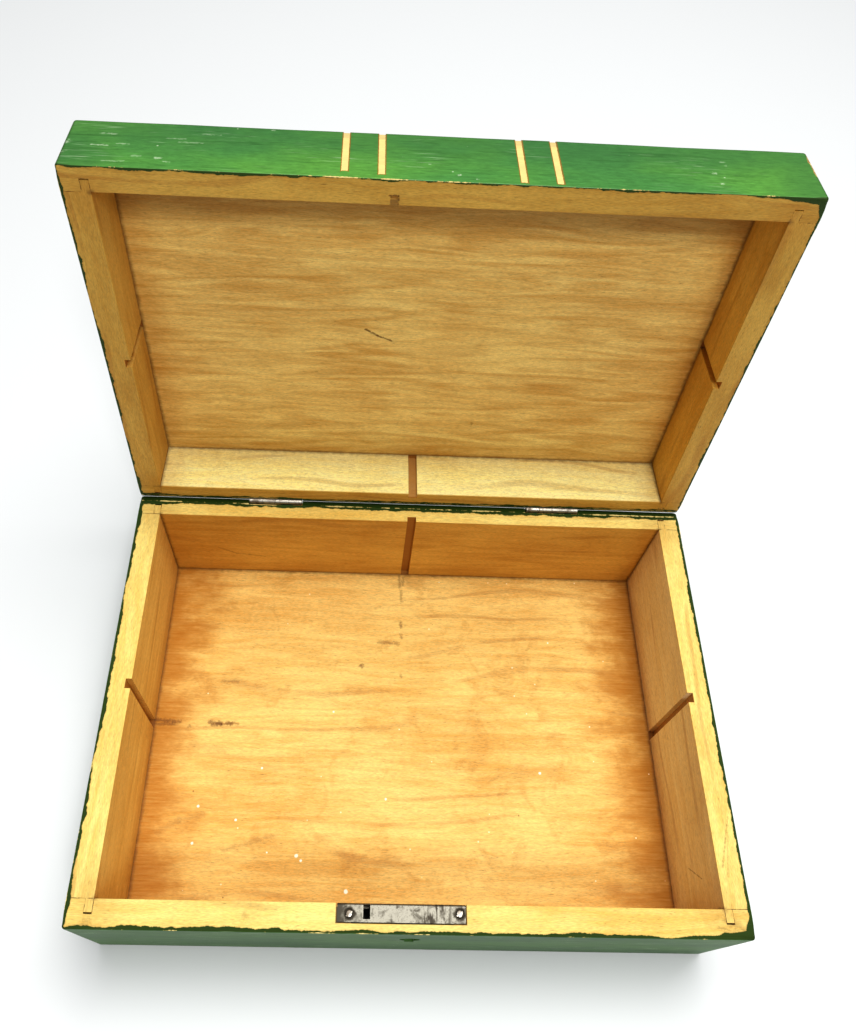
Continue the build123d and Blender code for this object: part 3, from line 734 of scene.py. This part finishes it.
def painted_board(node, grain, light, dark, seed, streak=0.4, lines=0.3, warm=0.12):
    """Green paint outside, ragged where it laps over the rims and worn off the arrises, and bare wood
    inside."""
    body = body_of[node]
    shade = Woodwork(f"{node}_wood", body, grain)
    # The rims take their body's rim tones, which are partly painted light: the lid's rims are darker for the shade
    # on them
    rim = shade.step(shade.from_parting, 0.8, 0.3)
    light, dark = (shade.mix(rim, *tones) for tones in zip((light, dark), RIM_TONES_AND_PAINTED_LIGHT[body]))
    wood, wood_height = bare_wood(shade, light, dark, seed, streak, lines, warm)
    wood = dirty_and_shaded_wood(shade, node, wood, seed)
    wood = marked(shade, node, wood, seed)
    # Painted shadow: the lid panel darkens towards its front wall, where the open lid's front wall shades it
    if node == "lid_top_panel":
        front_wall_shadow = shade.step(shade.add(shade.y, inner_depth), 34.0, 4.0)
        wood = shade.mix(shade.mul(front_wall_shadow, 0.75), wood, PANEL_SHADOW)
    if node == "base_floor":
        under = shade.step(shade.z, 1.0, 0.6)
        grime = shade.noise((0.03, 0.03, 0.03), 4, 0.65, 0.4, 71)
        wood = shade.mix(shade.mul(under, shade.step(grime, 0.3, 0.75)), wood, GRIME)

    # How far the paint laps over the rims
    ragged = shade.noise((0.3, 0.3, 0.3), 4, 0.6, 0.0, 5)
    broad = shade.noise((0.055, 0.055, 0.055), 2, 0.5, 0.0, 6)
    reach = shade.add(shade.mul(shade.sub(ragged, 0.5), 2.2), shade.mul(shade.sub(broad, 0.5), 3.4))
    drip = shade.from_segment(*DRIP)
    reach = shade.add(reach, shade.mul(shade.step(drip, 8.0, 1.0), 1.4))
    reach = shade.most(shade.add(reach, PAINT[body]["lap"]), 0.3)
    beyond = shade.sub(shade.depth, reach)
    paint = shade.step(beyond, 0.05, -0.05)

    # Where the paint has worn through: a fine line on the rims' arrises, and chips at the corners
    chips = shade.noise((0.55, 0.55, 0.55), 5, 0.7, 0.0, 9)
    patches = shade.noise((0.045, 0.045, 0.09), 3, 0.55, 0.0, 12)
    outer = shade.least(shade.across, shade.along)
    rim_arris = shade.hypot(shade.depth, shade.from_parting)
    broken = shade.add(shade.mul(chips, 0.8), shade.mul(patches, 1.3))
    rim_wear = shade.sub(shade.sub(broken, PAINT[body]["hold"]), rim_arris)
    corner = shade.hypot(shade.across, shade.along)
    top_edge = shade.hypot(outer, shade.under_top)
    foot_edge = shade.hypot(outer, shade.z)
    edge = shade.least(corner, top_edge, foot_edge)
    knock = shade.from_segment(*KNOCKED_CORNER)
    knocked = shade.mul(shade.step(knock, 4.5, 0.5), 1.2)
    edge_wear = shade.add(shade.mul(chips, 2.4), shade.mul(patches, 1.6))
    edge_wear = shade.sub(shade.add(edge_wear, knocked), shade.add(edge, 2.0))
    worn = shade.step(shade.most(rim_wear, edge_wear), -0.03, 0.07)

    green, strokes = paint_colour(shade, body)
    edge_dark = shade.mul(shade.step(edge, 1.6, 0.5), 0.5)
    green = shade.mix(edge_dark, green, DARK_OLIVE)
    on_rim = shade.mul(shade.step(shade.depth, 0.1, 0.3), shade.step(shade.from_parting, 1.4, 0.7))
    # The paint lapped on the rims is dark olive; the sloped back edges in the hinge gap are darkened to dark olive
    # as painted shade
    gap_shade = shade.step(shade.bevel, 0.3, 0.15)
    green = shade.mix(shade.mul(shade.most(on_rim, gap_shade), 0.92), green, DARK_OLIVE)

    on = shade.mul(paint, shade.sub(1.0, worn))
    stained = shade.tint(shade.mix(0.45, CREAM, wood), chips, 0.3)
    chip_dirt = shade.mul(shade.step(chips, 0.42, 0.58), 0.8)
    stained = shade.mix(shade.mul(chip_dirt, shade.step(edge_wear, -0.1, 0.1)), stained, GRIME)
    base = shade.mix(shade.mul(worn, paint), wood, stained)
    base = shade.mix(on, base, green)
    stain = shade.mul(shade.step(beyond, 0.5, 0.0), shade.sub(1.0, paint))
    base = shade.mix(shade.mul(stain, 0.3), base, GRIME)
    if body == "lid":
        bare, outline = line_masks(shade)
        base = shade.mix(shade.mul(outline, 0.75), base, LINE_OUTLINE)
        base = shade.mix(bare, base, shade.mix(0.5, CREAM, wood))
        on = shade.mul(on, shade.sub(1.0, bare))

    roughness = shade.add(0.62, shade.mul(on, -PAINT[body]["gloss"]))
    roughness = shade.add(roughness, shade.mul(shade.sub(strokes, 0.5), 0.16))
    roughness = shade.add(roughness, shade.mul(shade.mul(on, on_rim), 0.3))
    height = shade.mul(wood_height, shade.sub(0.6, shade.mul(on, 0.45)))
    height = shade.add(height, shade.mul(on, 0.8))
    height = shade.add(height, shade.mul(shade.mul(strokes, on), 0.35))
    shade.set(Base_Color=base, Roughness=roughness, Normal=shade.bump(height, 0.08))
    shade.set(Specular_IOR_Level=SPECULAR)
    return shade.material


def metal(name, light, dark, seed, roughness=0.34, stains=None):
    """Tarnished nickel or steel, with cloudy stains, fine scratches and small pits."""
    shade = Shader(name)
    cloud = shade.noise((0.3, 0.3, 0.3), 4, 0.6, 0.5, seed)
    pits = shade.noise((2.2, 2.2, 2.2), 3, 0.6, 0.0, seed + 4)
    lines = shade.noise((0.3, 5.0, 5.0), 2, 0.5, 0.0, seed + 8)
    dirt = shade.mul(shade.step(cloud, 0.46, 0.7), 0.75)
    pitted = shade.mul(shade.step(pits, 0.58, 0.7), 0.6)
    tarnish = shade.most(dirt, pitted)
    if stains:
        tarnish = shade.most(tarnish, stains(shade))
    base = shade.tint(shade.mix(tarnish, light, dark), lines, 0.12)
    rough_value = shade.add(shade.add(roughness, shade.mul(tarnish, 0.25)), shade.mul(lines, 0.1))
    height = shade.sub(shade.mul(lines, 0.4), shade.mul(pitted, 0.8))
    shade.set(Base_Color=base, Roughness=rough_value, Normal=shade.bump(height, 0.03), Metallic=1.0)
    return shade.material


def plate_stains(shade):
    """The lock plate's stains: rings about its screws, dark bands, and dirt at its left end."""
    ragged = shade.sub(shade.noise((0.8, 0.8, 0.8), 3, 0.6, 0.0, 81), 0.5)
    stain = 0.0
    for x, y in LOCK_SCREWS:
        gap = shade.hypot(shade.sub(shade.x, x), shade.sub(shade.y, y))
        ring = shade.step(shade.add(gap, shade.mul(ragged, 2.5)), 3.0, 1.6)
        stain = shade.most(stain, shade.mul(ring, 0.8))
    bands = shade.step(shade.noise((0.55, 0.1, 0.1), 2, 0.6, 0.4, 83), 0.5, 0.62)
    here = shade.mul(shade.step(shade.x, 1.0, 5.0), shade.step(shade.x, 15.0, 12.0))
    stain = shade.most(stain, shade.mul(shade.mul(bands, here), 0.75))
    end = shade.step(shade.add(shade.x, shade.mul(ragged, 6.0)), -23.0, -26.0)
    return shade.most(stain, shade.mul(end, 0.7))


# Woodwork

# Each board's lightest and darkest bare wood. These are partly painted light: the lid's rims are darker for the
# shade on them, the lid's back wall is paler for the light that falls on it, and the base's right wall and the
# lid's panel are paler to lift the shade on them.
RIM_TONES_AND_PAINTED_LIGHT = {
    "base": (colour(250, 226, 136), colour(226, 184, 90)),
    "lid": (colour(214, 174, 84), colour(184, 138, 54)),
}
WALL_TONES_AND_PAINTED_LIGHT = {
    "base_front_wall": (colour(240, 208, 120), colour(212, 164, 80)),
    "base_back_wall": (colour(228, 182, 90), colour(192, 138, 54)),
    "base_left_wall": (colour(244, 210, 126), colour(214, 168, 84)),
    "base_right_wall": (colour(254, 242, 206), colour(232, 210, 158)),
    "lid_front_wall": (colour(228, 190, 104), colour(198, 152, 68)),
    "lid_back_wall": (colour(255, 248, 182), colour(252, 234, 146)),
    "lid_left_wall": (colour(226, 188, 102), colour(196, 150, 66)),
    "lid_right_wall": (colour(236, 194, 96), colour(206, 152, 58)),
}
FLOOR_TONES = (colour(248, 212, 128), colour(216, 162, 76))
PANEL_TONES_AND_PAINTED_LIGHT = (colour(250, 220, 136), colour(212, 164, 82))


def make_board(node, grain, light, dark, seed, **look):
    """One board: its worn twin, its material, and its place in the frame."""
    material = painted_board(node, grain, light, dark, seed, **look)
    made = piece(f"{node}_look", board(node), body_of[node], material)
    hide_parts(node)


for number, body in enumerate(("base", "lid")):
    for side in ("front", "back"):
        name = f"{body}_{side}_wall"
        make_board(name, 0, *WALL_TONES_AND_PAINTED_LIGHT[name], 2.3 + number * 5 + len(side))
    for side in ("left", "right"):
        name = f"{body}_{side}_wall"
        seed = 4.1 + number * 3 + len(side)
        make_board(name, 1, *WALL_TONES_AND_PAINTED_LIGHT[name], seed)
make_board("base_floor", 0, *FLOOR_TONES, 31.0, lines=0.3, warm=0.3)
make_board("lid_top_panel", 0, *PANEL_TONES_AND_PAINTED_LIGHT, 37.0, streak=0.7, lines=0.12)


# Metalwork

nickel = metal("nickel", colour(132, 128, 116), colour(56, 47, 36), 41, 0.42, plate_stains)
bright_steel = metal("bright_steel", colour(176, 170, 158), colour(84, 66, 48), 43, 0.3)
dark_steel = metal("dark_steel", colour(120, 116, 110), colour(58, 50, 42), 47, 0.42)
FINISHES = {
    "lock_plate": (nickel, 0.12),
    "lock_inner": (dark_steel, 0.08),
    "screw_steel": (bright_steel, 0.07),
    "hinge_steel": (bright_steel, 0.1),
}
for part in frame["record"]["subparts"]:
    node, slot = part["node"], part["material_slot"]
    if slot in FINISHES:
        material, bevel = FINISHES[slot]
        made = piece(f"{node}_look", fitting(node, bevel), body_of[node], material)
        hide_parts(node)


# The floor, the light and the camera

STAGE_HALF = 1.5  # in metres, like the lights' places
STAGE_COLOUR = (0.84, 0.85, 0.85, 1.0)
WORLD_COLOUR, WORLD_STRENGTH = (0.96, 0.98, 1.0, 1.0), 0.16
# The lights: place, aim, size, and power
LIGHTS = {
    "overhead": ((0.18, 0.3, 1.6), (0, 0.05, 0.05), 0.9, 20),
    "front": ((0.2, -0.7, 1.4), (0, 0.05, 0.1), 0.3, 7.5),
}

floor_mesh = bmesh.new()
bmesh.ops.create_grid(floor_mesh, x_segments=1, y_segments=1, size=STAGE_HALF)
floor_data = bpy.data.meshes.new("floor")
floor_mesh.to_mesh(floor_data)
floor_mesh.free()
floor = bpy.data.objects.new("floor", floor_data)
bpy.context.scene.collection.objects.link(floor)
floor_shade = Shader("floor")
floor_shade.set(Base_Color=STAGE_COLOUR, Roughness=0.6)
floor_data.materials.append(floor_shade.material)

world = bpy.data.worlds.new("studio")
bpy.context.scene.world = world
world.use_nodes = True
background = world.node_tree.nodes["Background"]
background.inputs["Color"].default_value = WORLD_COLOUR
background.inputs["Strength"].default_value = WORLD_STRENGTH


def softbox(name, place, aim, size, power):
    """A square area light that looks at a point."""
    light = bpy.data.lights.new(name, "AREA")
    light.size = size
    light.energy = power
    made = bpy.data.objects.new(name, light)
    made.location = place
    made.rotation_euler = (Vector(aim) - Vector(place)).to_track_quat("-Z", "Y").to_euler()
    bpy.context.scene.collection.objects.link(made)


for name, light in LIGHTS.items():
    softbox(name, *light)

camera_data = bpy.data.cameras.new("camera")
camera_data.sensor_width = SENSOR
camera_data.lens = FOCAL_PIXELS / max(IMAGE_SIZE) * SENSOR
camera_data.shift_x = (IMAGE_SIZE[0] / 2 - AXIS_PIXEL[0]) / max(IMAGE_SIZE)
camera_data.shift_y = (AXIS_PIXEL[1] - IMAGE_SIZE[1] / 2) / max(IMAGE_SIZE)
camera_data.clip_start = 0.01
camera = bpy.data.objects.new("camera", camera_data)
camera.matrix_world = (
    Matrix.Translation(Vector(CAMERA_PLACE) * MM)
    @ Matrix.Rotation(math.radians(-CAMERA_TURN), 4, "Z")
    @ Matrix.Rotation(math.radians(90 - CAMERA_TILT), 4, "X")
    @ Matrix.Rotation(math.radians(CAMERA_ROLL), 4, "Z")
)
bpy.context.scene.collection.objects.link(camera)
bpy.context.scene.camera = camera
bpy.context.scene.view_settings.view_transform = "Standard"
bpy.context.scene.view_settings.look = "Medium High Contrast"

bpy.context.view_layer.update()
